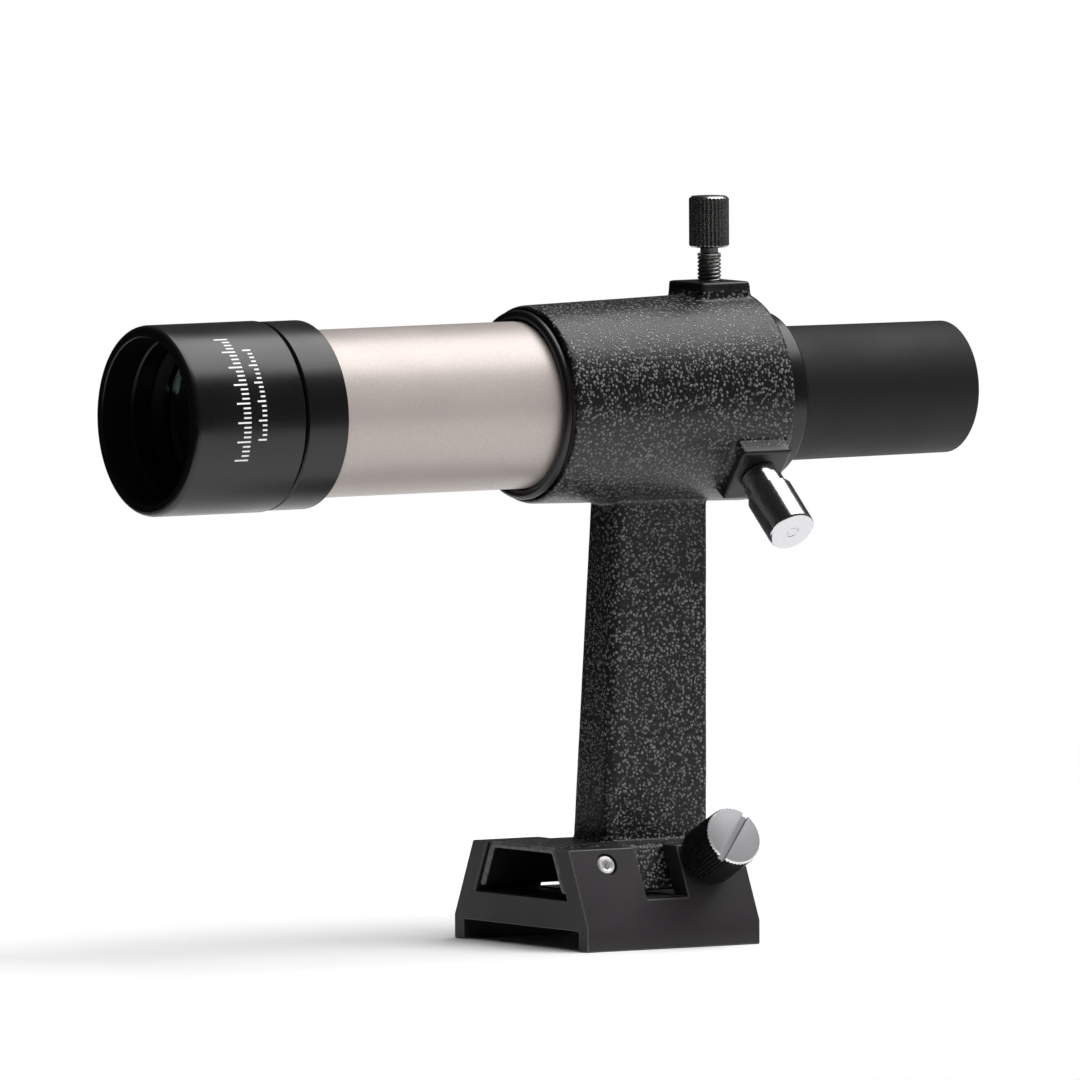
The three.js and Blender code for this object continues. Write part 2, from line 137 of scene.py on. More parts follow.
class FinderColours(bpy.types.PropertyGroup):
    """Colours of the finishes."""
    tube: colour_setting("Tube paint", "Metallic paint of the main tube", (0.44, 0.39, 0.368))
    black: colour_setting("Anodising", "Black of hood, collar, eyepiece and clamp", (0.0035, 0.0033, 0.004))
    cast: colour_setting("Powder coat", "Ground colour of the bracket", (0.0035, 0.0033, 0.004))
    speck: colour_setting("Specks", "Pale specks of the bracket's coat", (0.14, 0.14, 0.135))
    plating: colour_setting("Plating", "Bright plating of the screws", (0.64, 0.64, 0.66))
    rubber: colour_setting("Rubber", "Rubber ring", (0.0035, 0.0033, 0.004))
    floor: colour_setting("Table", "Pale top of the studio's table", (0.86, 0.86, 0.86))


class FinderStudio(bpy.types.PropertyGroup):
    """Camera, lights, room and table."""
    azimuth: angle_setting("Azimuth", "Camera direction round the object", -122.15)
    elevation: angle_setting("Elevation", "Camera height angle", 3.74)
    roll: angle_setting("Roll", "Camera roll", -0.3)
    distance: number_setting("Distance", "Camera distance", 7.84, min=0.3, unit="LENGTH")
    lens: number_setting("Lens", "Focal length in millimetres", 1269.5, min=20.0)
    key_strength: number_setting("Soft light", "Strength of the wide overhead light", 2.4, min=0.0)
    key_spread: angle_setting("Soft light width", "Angle across the overhead light", 53)
    key_back: angle_setting("Soft light back", "Tilt of the overhead light towards the eyepiece", 26)
    key_near: angle_setting("Soft light near", "Tilt of the overhead light towards the camera's side", 3)
    fill_strength: number_setting("Fill light", "Strength of the light from the camera's side", 3.1, min=0.0)
    room_front: number_setting("Room in front", "Light from the wall the hood points at", 0.02, min=0.0)
    room_back: number_setting("Room behind", "Light from the wall behind the eyepiece", 0.12, min=0.0)
    floor_radius: number_setting(
        "Table radius", "Radius of the round pale table", 0.42, min=0.2, unit="LENGTH")
    floor_shift: bpy.props.FloatVectorProperty(
        name="Table middle", description="Where the middle of the table lies", size=2,
        default=(-0.08, -0.20), unit="LENGTH")


# ---- placing
def along_tube():
    """Local Z becomes the line of sight, through the optical axis."""
    return Matrix.Translation((0, 0, AXIS_HEIGHT)) @ Matrix.Rotation(math.radians(-90), 4, "X")


def towards(angle):
    """Local Z becomes the outward direction of a screw of the bracket."""
    turn = Matrix.Rotation(math.radians(90 - angle), 4, "Y")
    return Matrix.Translation((0, SCREW_STATION, AXIS_HEIGHT)) @ turn


def flank_half(height):
    """Distance of the shoe's outer flank from its middle plane."""
    return SHOE_HIGH[0] - (height - FLANK_SHOULDER) * FLANK_SLOPE


def groove_half(height):
    """Distance of the groove's wall from the shoe's middle plane."""
    return GROOVE_TOP_HALF + (SHOE_HIGH[2] - height) * FLANK_SLOPE


def out_of_flank(station):
    """Local Z becomes the outward normal of the shoe's near flank, starting on its surface."""
    tilt = math.atan(FLANK_SLOPE)
    turn = Matrix.Rotation(tilt - math.radians(90), 4, "Y")
    return Matrix.Translation((-flank_half(SCREW_HEIGHT), station, SCREW_HEIGHT)) @ turn


# ---- mesh work
def eased(outline, ease, closed=True, steps=3):
    """Rounds the corners of a (radius, height) outline."""
    points = []
    count = len(outline)
    for i, corner in enumerate(outline):
        here = Vector(corner)
        if not closed and i in (0, count - 1):
            points.append(here)
            continue
        back = Vector(outline[i - 1]) - here
        ahead = Vector(outline[(i + 1) % count]) - here
        cut = min(ease, 0.45 * back.length, 0.45 * ahead.length)
        if back.angle(ahead) > math.radians(172):
            points.append(here)
            continue
        start = here + back.normalized() * cut
        end = here + ahead.normalized() * cut
        for k in range(steps + 1):
            t = k / steps
            points.append(start * (1 - t) ** 2 + here * 2 * t * (1 - t) + end * t * t)
    return points


def turned(outline, segments, closed=True, radius_at=None):
    """Vertices and faces of an outline turned about local Z."""
    vertices, faces, rings = [], [], []
    for radius, height in outline:
        if radius < 1e-6:
            rings.append([len(vertices)])
            vertices.append((0, 0, height))
            continue
        ring = []
        for s in range(segments):
            angle = 2 * math.pi * s / segments
            r = radius_at(angle, height, radius) if radius_at else radius
            ring.append(len(vertices))
            vertices.append((r * math.cos(angle), r * math.sin(angle), height))
        rings.append(ring)
    pairs = list(zip(rings, rings[1:]))
    if closed:
        pairs.append((rings[-1], rings[0]))
    for lower, upper in pairs:
        for s in range(segments):
            t = (s + 1) % segments
            corners = (
                lower[s % len(lower)], lower[t % len(lower)], upper[t % len(upper)], upper[s % len(upper)])
            face = list(dict.fromkeys(corners))
            if len(face) > 2:
                faces.append(face)
    return vertices, faces


def knurl(outer, depth, teeth):
    """Cuts straight teeth into whatever reaches the outer radius."""
    def radius_at(angle, height, radius):
        wave = 0.5 - 0.5 * math.cos(teeth * angle)
        return min(radius, outer - depth * wave ** 0.8)
    return radius_at


def helix(core, crest, pitch, start, end):
    """Cuts a right-hand thread into the stretch between two heights."""
    def radius_at(angle, height, radius):
        if not start <= height <= end:
            return radius
        phase = ((height - start) / pitch - angle / (2 * math.pi)) % 1.0
        ridge = min(1.0, 1.35 * (1 - abs(2 * phase - 1)))
        fade = min(1.0, (height - start) / pitch, (end - height) / pitch)
        return radius - (crest - core) * (1 - ridge) * max(0.0, fade)
    return radius_at


def make_object(name, vertices, faces, place):
    """A mesh object with its vertices in the frame's metres and its faces pointing out."""
    mesh = bpy.data.meshes.new(name)
    mesh.from_pydata([tuple(v) for v in vertices], [], faces)
    mesh.transform(Matrix.Scale(MM, 4) @ place)
    work = bmesh.new()
    work.from_mesh(mesh)
    bmesh.ops.remove_doubles(work, verts=work.verts, dist=1e-7)
    bmesh.ops.recalc_face_normals(work, faces=work.faces)
    work.to_mesh(mesh)
    work.free()
    piece = bpy.data.objects.new(name, mesh)
    bpy.context.scene.collection.objects.link(piece)
    return piece


def apply_modifiers(piece):
    """Replaces the mesh by the one its modifiers make."""
    bpy.context.view_layer.update()
    graph = bpy.context.evaluated_depsgraph_get()
    mesh = bpy.data.meshes.new_from_object(piece.evaluated_get(graph))
    piece.modifiers.clear()
    piece.data = mesh


def combine(piece, other, operation):
    """Joins or cuts with another closed mesh, which is then removed."""
    step = piece.modifiers.new("combine", "BOOLEAN")
    step.operation = operation
    step.solver = "EXACT"
    step.object = other
    apply_modifiers(piece)
    bpy.data.objects.remove(other, do_unlink=True)


def soften_edges(piece, width):
    """Rounds every edge that bends by more than 35 degrees."""
    step = piece.modifiers.new("edges", "BEVEL")
    step.width = width * MM
    step.segments = 3
    step.limit_method = "ANGLE"
    step.angle_limit = math.radians(35)
    step.use_clamp_overlap = True
    step.miter_outer = "MITER_ARC"
    apply_modifiers(piece)


def shade(piece, angle):
    piece.data.shade_smooth()
    piece.data.set_sharp_from_angle(angle=math.radians(angle))
    weighted = piece.modifiers.new("normals", "WEIGHTED_NORMAL")
    weighted.keep_sharp = True
    weighted.weight = 80


def dress(piece, material, body, nodes=(), angle=40):
    """Finishes a piece: shading, material, the body it rides on and the nodes it stands for."""
    piece.data.materials.clear()
    piece.data.materials.append(material)
    shade(piece, angle)
    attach(piece, body)
    if nodes:
        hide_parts(*nodes)
    return piece


def turned_piece(name, outline, place, ease, closed=True, radius_at=None, segments=None):
    """A turned piece with eased corners, closed as a ring or left open at the axis."""
    sizes = bpy.context.scene.finder_sizes
    points = eased(outline, ease, closed)
    vertices, faces = turned(points, segments or sizes.segments, closed, radius_at)
    return make_object(name, vertices, faces, place)


def sharp_turned(name, outline, place, sides, radius_at=None):
    """A turned solid with its corners as drawn, from an outline that starts and ends on the axis."""
    vertices, faces = turned([Vector(p) for p in outline], sides, False, radius_at)
    return make_object(name, vertices, faces, place)


def loft(name, low_outline, high_outline, low, high, place=Matrix.Identity(4)):
    """Joins two outlines of equal count at two heights."""
    count = len(low_outline)
    vertices = [(x, y, low) for x, y in low_outline] + [(x, y, high) for x, y in high_outline]
    faces = [list(range(count)), list(range(count, 2 * count))]
    for i in range(count):
        j = (i + 1) % count
        faces.append([i, j, j + count, i + count])
    return make_object(name, vertices, faces, place)


def prism(name, outline, depth, place):
    """A flat (x, y) outline pushed along local Z."""
    return loft(name, outline, outline, 0, depth, place)


def block(name, low, high, place=Matrix.Identity(4)):
    """A box between two corners."""
    outline = [(low[0], low[1]), (high[0], low[1]), (high[0], high[1]), (low[0], high[1])]
    return prism(name, outline, high[2] - low[2], place @ Matrix.Translation((0, 0, low[2])))


def rod(name, radius, start, end, place, segments=48):
    outline = [(0, start), (radius, start), (radius, end), (0, end)]
    vertices, faces = turned(outline, segments, closed=False)
    return make_object(name, vertices, faces, place)


def rounded_outline(width, length, front_corner, rear_corner=None, steps=5):
    """Rectangle whose rear corners may have their own rounding."""
    points = []
    middles = [(1, 1, 0), (-1, 1, 90), (-1, -1, 180), (1, -1, 270)]
    for sx, sy, start in middles:
        corner = front_corner if sy > 0 or rear_corner is None else rear_corner
        for k in range(steps + 1):
            angle = math.radians(start + 90 * k / steps)
            x = sx * (width / 2 - corner) + corner * math.cos(angle)
            y = sy * (length / 2 - corner) + corner * math.sin(angle)
            points.append((x, y))
    return points


# ---- shader groups
def new_group(name, inputs, outputs):
    group = bpy.data.node_groups.new(name, "ShaderNodeTree")
    for label, kind, value in inputs:
        socket = group.interface.new_socket(name=label, in_out="INPUT", socket_type=kind)
        socket.default_value = value
    for label, kind in outputs:
        group.interface.new_socket(name=label, in_out="OUTPUT", socket_type=kind)
    return group, group.nodes.new("NodeGroupInput"), group.nodes.new("NodeGroupOutput")


def noise_node(tree, place, scale, detail):
    """Noise over the coordinates of a place."""
    node = tree.nodes.new("ShaderNodeTexNoise")
    node.inputs["Scale"].default_value = scale
    node.inputs["Detail"].default_value = detail
    node.inputs["Roughness"].default_value = 0.55
    tree.links.new(place, node.inputs["Vector"])
    return node


def object_place(tree):
    return tree.nodes.new("ShaderNodeTexCoord").outputs["Object"]


def math_node(tree, operation, first=None, second=None, clamp=False):
    node = tree.nodes.new("ShaderNodeMath")
    node.operation = operation
    node.use_clamp = clamp
    for i, value in enumerate((first, second)):
        if value is None:
            continue
        if isinstance(value, (int, float)):
            node.inputs[i].default_value = value
        else:
            tree.links.new(value, node.inputs[i])
    return node.outputs[0]


def mix_colour(tree, factor, first, second):
    node = tree.nodes.new("ShaderNodeMix")
    node.data_type = "RGBA"
    sockets = (node.inputs[0], node.inputs[6], node.inputs[7])
    for socket, value in zip(sockets, (factor, first, second)):
        if isinstance(value, bpy.types.NodeSocket):
            tree.links.new(value, socket)
        else:
            socket.default_value = value
    return node.outputs[2]


def spread(tree, value, low, high, start=0.0, end=1.0):
    node = tree.nodes.new("ShaderNodeMapRange")
    for label, number in (("From Min", low), ("From Max", high), ("To Min", start), ("To Max", end)):
        if isinstance(number, bpy.types.NodeSocket):
            tree.links.new(number, node.inputs[label])
        else:
            node.inputs[label].default_value = number
    tree.links.new(value, node.inputs["Value"])
    return node.outputs["Result"]


def fine_grain_group():
    """Two noises that vary colour, roughness and height over a surface."""
    name = "Fine grain"
    if name in bpy.data.node_groups:
        return bpy.data.node_groups[name]
    group, given, out = new_group(name, [
        ("Scale", "NodeSocketFloat", 2500.0),
        ("Dark", "NodeSocketColor", (0.01, 0.01, 0.01, 1)),
        ("Light", "NodeSocketColor", (0.02, 0.02, 0.02, 1)),
        ("Rough low", "NodeSocketFloat", 0.3),
        ("Rough high", "NodeSocketFloat", 0.4),
    ], [("Colour", "NodeSocketColor"), ("Roughness", "NodeSocketFloat"), ("Height", "NodeSocketFloat")])
    place = object_place(group)
    fine = noise_node(group, place, 1.0, 2.0)
    broad = noise_node(group, place, 60.0, 4.0)
    group.links.new(given.outputs["Scale"], fine.inputs["Scale"])
    shade_value = spread(group, fine.outputs["Fac"], 0.3, 0.7)
    smear = spread(group, broad.outputs["Fac"], 0.3, 0.7)
    tone = math_node(group, "ADD", math_node(group, "MULTIPLY", shade_value, 0.75),
                     math_node(group, "MULTIPLY", smear, 0.25), clamp=True)
    colour = mix_colour(group, tone, given.outputs["Dark"], given.outputs["Light"])
    rough = spread(group, smear, 0.0, 1.0, given.outputs["Rough low"], given.outputs["Rough high"])
    group.links.new(colour, out.inputs["Colour"])
    group.links.new(rough, out.inputs["Roughness"])
    group.links.new(fine.outputs["Fac"], out.inputs["Height"])
    return group


def turning_marks_group():
    """Fine rings left by a lathe, along the line of sight."""
    name = "Turning marks"
    if name in bpy.data.node_groups:
        return bpy.data.node_groups[name]
    group, given, out = new_group(name, [
        ("Spacing", "NodeSocketFloat", 3000.0),
    ], [("Height", "NodeSocketFloat")])
    parts = group.nodes.new("ShaderNodeSeparateXYZ")
    join = group.nodes.new("ShaderNodeCombineXYZ")
    group.links.new(object_place(group), parts.inputs[0])
    along = math_node(group, "MULTIPLY", parts.outputs["Y"], given.outputs["Spacing"])
    group.links.new(along, join.inputs["X"])
    rings = noise_node(group, join.outputs[0], 1.0, 2.0)
    group.links.new(rings.outputs["Fac"], out.inputs["Height"])
    return group


def place_group(tree, group, **values):
    node = tree.nodes.new("ShaderNodeGroup")
    node.node_tree = group
    for label, value in values.items():
        node.inputs[label.replace("_", " ")].default_value = value
    return node


# ---- materials
def colours():
    return bpy.context.scene.finder_colours


def new_material(name):
    material = bpy.data.materials.new(name)
    material.use_nodes = True
    tree = material.node_tree
    return material, tree, tree.nodes["Principled BSDF"]


def bump(tree, shader, height, distance):
    node = tree.nodes.new("ShaderNodeBump")
    node.inputs["Distance"].default_value = distance * MM
    node.inputs["Strength"].default_value = 1.0
    tree.links.new(height, node.inputs["Height"])
    tree.links.new(node.outputs["Normal"], shader.inputs["Normal"])


def opaque(colour, factor=1.0):
    return (colour[0] * factor, colour[1] * factor, colour[2] * factor, 1.0)


def grain_material(name, colour, rough, scale, contrast, relief, metallic=0.0, marks=0.0):
    """A metal or plastic finish with grain, and lathe marks where asked. Each name is made once."""
    if name in bpy.data.materials:
        return bpy.data.materials[name]
    material, tree, shader = new_material(name)
    shader.inputs["Metallic"].default_value = metallic
    grain = place_group(
        tree, fine_grain_group(), Scale=scale, Dark=opaque(colour, 1 - contrast),
        Light=opaque(colour, 1 + contrast), Rough_low=rough[0], Rough_high=rough[1])
    tree.links.new(grain.outputs["Colour"], shader.inputs["Base Color"])
    tree.links.new(grain.outputs["Roughness"], shader.inputs["Roughness"])
    height = grain.outputs["Height"]
    if marks > 0:
        rings = place_group(tree, turning_marks_group())
        scaled = math_node(tree, "MULTIPLY", rings.outputs["Height"], marks)
        height = math_node(tree, "ADD", height, scaled)
    bump(tree, shader, height, relief)
    return material


def anodised(name="Black anodising", rough=(0.26, 0.34)):
    return grain_material(
        name, colours().black, rough, scale=3500.0, contrast=0.25, relief=0.002, marks=1.0)


def shoe_black():
    return grain_material(
        "Satin anodising", (0.0148, 0.0128, 0.0145), (0.42, 0.52),
        scale=3500.0, contrast=0.2, relief=0.005, marks=1.5)


def edge_highlight_anodising():
    """The shoe's softened edges, painted lighter as a painted highlight along them."""
    return grain_material(
        "Rubbed anodising", (0.05, 0.047, 0.05), (0.3, 0.42), scale=2500.0, contrast=0.5, relief=0.006)


def matte_black():
    return grain_material(
        "Matte black", colours().black, (0.64, 0.72), scale=5000.0, contrast=0.3, relief=0.006)


def bright_steel():
    return grain_material(
        "Bright steel", (0.75, 0.74, 0.73), (0.2, 0.28),
        scale=1500.0, contrast=0.06, relief=0.001, metallic=0.6)


def dark_steel(name="Blackened steel", rough=(0.2, 0.3)):
    return grain_material(
        name, (0.42, 0.41, 0.40), rough, scale=1500.0, contrast=0.06, relief=0.001, metallic=1.0)


def face_metal():
    """Satin machined end of the clamp screw's head."""
    return grain_material(
        "Machined face", (0.29, 0.285, 0.3), (0.5, 0.58),
        scale=6000.0, contrast=0.1, relief=0.006, metallic=0.45)


def plating(name="Bright plating", rough=(0.05, 0.12)):
    return grain_material(
        name, colours().plating, rough, scale=1500.0, contrast=0.04, relief=0.0008, metallic=1.0)


def rubber_material():
    return grain_material(
        "Rubber", colours().rubber, (0.33, 0.42), scale=4000.0, contrast=0.3, relief=0.006)


def tube_paint():
    """Metallic paint: tiny flakes in a warm ground under a thin clear coat."""
    material = grain_material(
        "Champagne paint", colours().tube, (0.40, 0.48),
        scale=3200.0, contrast=0.13, relief=0.012, metallic=0.38)
    shader = material.node_tree.nodes["Principled BSDF"]
    shader.inputs["Coat Weight"].default_value = 0.15
    shader.inputs["Coat Roughness"].default_value = 0.25
    return material


def mark_paint():
    return grain_material(
        "White marking", (0.78, 0.78, 0.78), (0.45, 0.55), scale=6000.0, contrast=0.04, relief=0.002)


def studio_paper():
    return grain_material(
        "Studio paper", colours().floor, (0.8, 0.9), scale=40.0, contrast=0.01, relief=0.01)


def unspeckled_coat_and_shade():
    """The bracket's coat without specks: as it came out on the bosses' sides, and as painted shade inside
    the foot.
    """
    ground = [c * 2.0 for c in colours().cast]
    return grain_material(
        "Smooth powder coat", ground, (0.3, 0.45), scale=700.0, contrast=0.5, relief=0.02)


def rim_highlight_coat():
    """The bracket's coat on the foot's front rim, painted lighter as a painted highlight along the rounded
    rim.
    """
    return grain_material(
        "Rubbed powder coat", (0.1, 0.1, 0.1), (0.4, 0.55), scale=900.0, contrast=0.6, relief=0.02)


def speck_cells(tree, place):
    """Cells that each carry one speck, bent a little so that the specks aren't round."""
    warp = noise_node(tree, place, 1300.0, 1.0)
    shift = tree.nodes.new("ShaderNodeVectorMath")
    shift.operation = "MULTIPLY_ADD"
    shift.inputs[1].default_value = (0.0005, 0.0005, 0.0005)
    tree.links.new(warp.outputs["Color"], shift.inputs[0])
    tree.links.new(place, shift.inputs[2])
    cells = tree.nodes.new("ShaderNodeTexVoronoi")
    cells.feature = "F1"
    cells.inputs["Scale"].default_value = 1400.0
    cells.inputs["Randomness"].default_value = 0.95
    tree.links.new(shift.outputs[0], cells.inputs["Vector"])
    return cells


def powder_coat():
    """Glossy black coat with pale raised specks, some of them joined into short squiggles."""
    name = "Hammertone powder coat"
    if name in bpy.data.materials:
        return bpy.data.materials[name]
    material, tree, shader = new_material(name)
    place = object_place(tree)
    cells = speck_cells(tree, place)
    pick = tree.nodes.new("ShaderNodeSeparateColor")
    tree.links.new(cells.outputs["Color"], pick.inputs[0])
    size = spread(tree, pick.outputs[0], 0.0, 1.0, 0.42, 0.56)
    dot = tree.nodes.new("ShaderNodeMapRange")
    dot.interpolation_type = "SMOOTHSTEP"
    tree.links.new(cells.outputs["Distance"], dot.inputs["Value"])
    tree.links.new(size, dot.inputs["From Min"])
    tree.links.new(math_node(tree, "MULTIPLY", size, 0.45), dot.inputs["From Max"])
    level = spread(tree, pick.outputs[1], 0.0, 0.8, 0.35, 1.0)
    mask = math_node(tree, "MULTIPLY", dot.outputs["Result"], level, clamp=True)
    colour = mix_colour(tree, mask, opaque(colours().cast), opaque(colours().speck))
    tree.links.new(colour, shader.inputs["Base Color"])
    tree.links.new(spread(tree, mask, 0.0, 1.0, 0.38, 0.24), shader.inputs["Roughness"])
    swell = noise_node(tree, place, 420.0, 2.0)
    waves = math_node(tree, "MULTIPLY", swell.outputs["Fac"], 2.0)
    bump(tree, shader, math_node(tree, "ADD", dot.outputs["Result"], waves), 0.06)
    return material


def lens_glass():
    """Coated glass with a breath of dust."""
    name = "Coated glass"
    if name in bpy.data.materials:
        return bpy.data.materials[name]
    tint = (0.82, 0.9, 0.9)
    material, tree, shader = new_material(name)
    shader.inputs["Transmission Weight"].default_value = 1.0
    shader.inputs["IOR"].default_value = 1.46
    shader.inputs["Specular IOR Level"].default_value = 0.15
    dust = noise_node(tree, object_place(tree), 120.0, 5.0)
    rough = spread(tree, dust.outputs["Fac"], 0.45, 0.75, 0.0, 0.05)
    tree.links.new(rough, shader.inputs["Roughness"])
    colour = mix_colour(tree, dust.outputs["Fac"], opaque(tint), opaque(tint, 0.95))
    tree.links.new(colour, shader.inputs["Base Color"])
    return material


# ---- tube pieces
class FINDER_OT_hood(bpy.types.Operator):
    """Objective cell with its hood and the plain marks on it"""
    bl_idname = "finder.hood"
    bl_label = "Hood and objective cell"

    def execute(self, context):
        rear, front, radius = span("objective_cell")
        outline = [
            (16.85, rear), (radius - 0.5, rear), (radius, rear + 0.5), (radius, front - 1.5),
            (radius - 0.12, front - 0.85), (radius - 0.45, front - 0.35), (radius - 1.1, front),
            (17.4, front), (17.15, front - 0.3), (17.15, 104.6), (16.75, 104.3),
            (16.75, 97.6), (16.0, 97.6), (16.0, 90.6), (14.9, 90.6), (14.9, 89.9), (16.85, 89.9),
        ]
        hood = turned_piece("hood", outline, along_tube(), 0.14)
        dress(hood, anodised(), "cell", ["objective_cell"])
        self.marks(radius, front)
        return {"FINISHED"}

    def marks(self, radius, front):
        """Two rows of fine lines printed round the near side, like a plain focusing scale."""
        self.row("hood_marks_0", radius, front - 11.9, half=1.6, middle=162, count=29)
        self.row("hood_marks_1", radius, front - 16.3, half=1.0, middle=161, count=21)

    def row(self, name, radius, station, half, middle, count):
        """Lines 2.9 degrees apart on either side of the middle angle, every fourth one at full length."""
        vertices, faces = [], []
        for k in range(count):
            angle = middle + (k - (count - 1) / 2) * 2.9
            reach = half if k % 4 == 0 else half * 0.55
            self.line(vertices, faces, radius, station - half, 2 * reach, angle)
        marks = make_object(name, vertices, faces, Matrix.Identity(4))
        dress(marks, mark_paint(), "cell")

    @staticmethod
    def line(vertices, faces, radius, start, length, middle, width=0.36):
        """One printed line, a thin closed shell lying on the cylinder."""
        first = len(vertices)
        sweep = math.degrees(width / radius)
        for k in (-1, 0, 1):
            angle = math.radians(middle + sweep * k / 2)
            for r in (radius - 0.05, radius + 0.015):
                for along in (start, start + length):
                    x, z = r * math.cos(angle), r * math.sin(angle)
                    vertices.append((x, along, AXIS_HEIGHT + z))
        for k in (0, 1):
            a = first + 4 * k
            b = a + 4
            faces += [[a, a + 1, b + 1, b], [a + 2, b + 2, b + 3, a + 3],
                      [a, b, b + 2, a + 2], [a + 1, a + 3, b + 3, b + 1]]
        end = first + 8
        faces += [[first, first + 2, first + 3, first + 1], [end, end + 1, end + 3, end + 2]]


class FINDER_OT_lock_ring(bpy.types.Operator):
    """Lock ring behind the objective cell"""
    bl_idname = "finder.lock_ring"
    bl_label = "Lock ring"

    def execute(self, context):
        rear, front, radius = span("lock_ring")
        outline = [
            (16.9, rear), (radius - 0.3, rear), (radius, rear + 0.3), (radius, front - 0.4),
            (radius - 0.4, front), (16.9, front),
        ]
        ring = turned_piece("focus_lock_ring", outline, along_tube(), 0.1)
        dress(ring, anodised(), "focus_lock", ["lock_ring"])
        return {"FINISHED"}


class FINDER_OT_main_tube(bpy.types.Operator):
    """Painted main tube with its front thread"""
    bl_idname = "finder.main_tube"
    bl_label = "Main tube"

    def execute(self, context):
        rear, front, radius = span("main_tube")
        shoulder = span("lock_ring")[0] - 0.35
        thread = [(FRONT_THREAD, shoulder + 0.1 * k) for k in range(1, int((front - shoulder - 0.5) / 0.1))]
        outline = [(radius - 1.35, rear), (radius, rear), (radius, shoulder), (FRONT_THREAD, shoulder)]
        outline += thread[::2]
        outline += [
            (FRONT_THREAD, front - 0.4), (FRONT_THREAD - 0.4, front), (14.9, front), (14.9, shoulder - 4),
            (15.9, shoulder - 5),
        ]
        cut = helix(16.15, FRONT_THREAD, 1.0, shoulder + 0.5, front - 0.5)
        tube = turned_piece("optical_tube", outline, along_tube(), 0.1, radius_at=self.keep_bore(cut))
        dress(tube, tube_paint(), "tube", ["main_tube"])
        return {"FINISHED"}

    @staticmethod
    def keep_bore(cut):
        """The thread is only on the outside, so the bore keeps its radius."""
        return lambda angle, height, radius: cut(angle, height, radius) if radius > 16.3 else radius


class FINDER_OT_rear_collar(bpy.types.Operator):
    """Chamfered collar between the main tube and the eyepiece tube"""
    bl_idname = "finder.rear_collar"
    bl_label = "Rear collar"

    def execute(self, context):
        rear, front, radius = span("rear_collar")
        outline = [
            (14.25, rear), (radius - 0.95, rear), (radius, rear + 0.95), (radius, -30.45),
            (15.55, -30.45), (15.55, front), (14.25, front),
        ]
        collar = turned_piece("collar", outline, along_tube(), 0.12)
        dress(collar, anodised(), "tube", ["rear_collar"])
        return {"FINISHED"}


class FINDER_OT_eyepiece(bpy.types.Operator):
    """Eyepiece tube with a cupped end"""
    bl_idname = "finder.eyepiece"
    bl_label = "Eyepiece tube"

    def execute(self, context):
        rear, front, radius = span("eyepiece_tube")
        collar_rear = span("rear_collar")[0]
        outline = [
            (10.6, rear), (radius - 0.75, rear), (radius - 0.25, rear + 0.5), (radius, collar_rear - 1.5),
            (radius, front), (11.6, front), (11.6, -80.1), (8.6, -80.1),
        ]
        tube = turned_piece("eyepiece_barrel", outline, along_tube(), 0.14)
        dress(tube, matte_black(), "tube", ["eyepiece_tube"])
        return {"FINISHED"}


class FINDER_OT_rubber_ring(bpy.types.Operator):
    """Rubber ring at the bracket's mouth"""
    bl_idname = "finder.rubber_ring"
    bl_label = "Rubber ring"

    def execute(self, context):
        rear, front, outer = span("tube_o_ring")
        middle, section = (rear + front) / 2, 1.05
        radius = outer - section
        outline = []
        for k in range(24):
            angle = 2 * math.pi * k / 24
            outline.append((radius + section * math.cos(angle), middle + section * 0.95 * math.sin(angle)))
        vertices, faces = turned(outline, context.scene.finder_sizes.segments)
        ring = make_object("rubber_ring", vertices, faces, along_tube())
        dress(ring, rubber_material(), "pivot_ring", ["tube_o_ring"])
        return {"FINISHED"}


# ---- optics
def bulged_outline(radius, rear, front, rear_bulge, front_bulge, steps=12):
    """Lens outline from the axis out along one face and back along the other."""
    rear_face, front_face = [], []
    for k in range(steps + 1):
        share = 1 - (k / steps) ** 2
        rear_face.append((radius * k / steps, rear + rear_bulge * share))
        front_face.insert(0, (radius * k / steps, front + front_bulge * share))
    return rear_face + front_face


def make_lens(name, node, body, *shape):
    """A lens whose shape is its radius, its two stations and how far each face bulges."""
    piece = sharp_turned(name, bulged_outline(*shape), along_tube(), 96)
    dress(piece, lens_glass(), body, [node], angle=30)


class FINDER_OT_lenses(bpy.types.Operator):
    """Objective and eyepiece lenses"""
    bl_idname = "finder.lenses"
    bl_label = "Lenses"

    def execute(self, context):
        make_lens("front_lens", "crown_lens", "lens_pack", OBJECTIVE_SEAT, 94.9, 97.4, -1.7, 1.35)
        make_lens("rear_lens", "flint_lens", "lens_pack", OBJECTIVE_SEAT, 90.95, 93.65, 0.0, -1.45)
        make_lens("eye_end_lens", "eye_lens", "tube", EYEPIECE_SEAT, -79.75, -76.5, -0.2, 1.6)
        make_lens("field_end_lens", "field_lens", "tube", EYEPIECE_SEAT, -61.9, -59.2, -1.4, 0.0)
        return {"FINISHED"}


